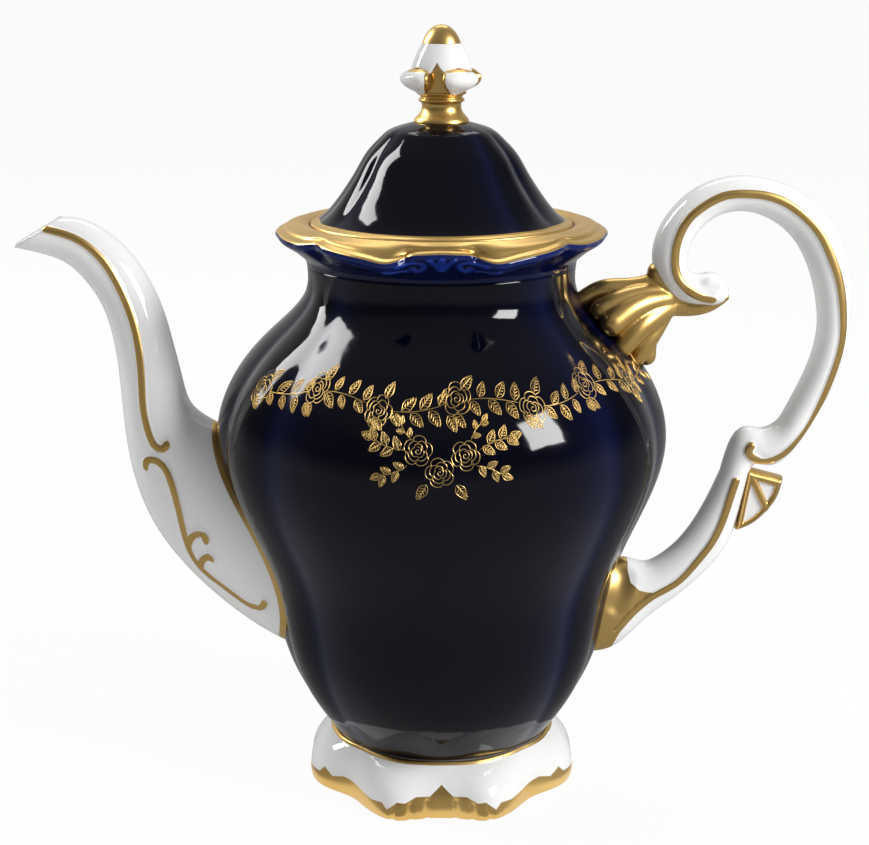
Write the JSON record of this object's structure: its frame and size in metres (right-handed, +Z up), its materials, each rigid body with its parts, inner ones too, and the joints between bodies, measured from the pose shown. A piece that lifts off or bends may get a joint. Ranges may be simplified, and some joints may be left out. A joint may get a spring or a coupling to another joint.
{
  "type": "porcelain coffee pot",
  "caption": "Tall lobed porcelain coffee pot in deep cobalt glaze with gilded edges, scroll handle, curved spout, pedestal foot and lift-off lid.",
  "frame": {"origin": "middle of the ring that the foot stands on", "axes": "+Z up along the pot's axis, spout towards -X, handle towards +X"},
  "size_m": [0.2601, 0.1422, 0.2401],
  "materials": {
    "cobalt_glaze": "deep cobalt underglaze under clear glossy glaze",
    "white_glaze": "clear glossy glaze on white porcelain",
    "gilded_porcelain": "burnished gold on glazed porcelain",
    "bare_porcelain": "glazed porcelain with a bare rim where it seats"
  },
  "bodies": {
    "pot": {"belly": "cobalt_glaze", "mouth_collar": "cobalt_glaze", "pedestal_foot": "white_glaze", "spout": "white_glaze", "handle_loop": "white_glaze", "handle_lower_arm": "white_glaze", "handle_lower_root": "gilded_porcelain", "handle_upper_leaf": "gilded_porcelain", "handle_fan": "white_glaze"},
    "lid": {"lid_dome": "cobalt_glaze", "lid_flange": "bare_porcelain", "knob_stem": "gilded_porcelain", "knob_bud": "white_glaze", "knob_petals": "white_glaze", "knob_tip": "gilded_porcelain"}
  },
  "joints": [
    {"name": "lid_lift", "type": "slide", "parent": "pot", "child": "lid", "axis": [0, 0, 1], "range_m": [0, 0.09]}
  ]
}
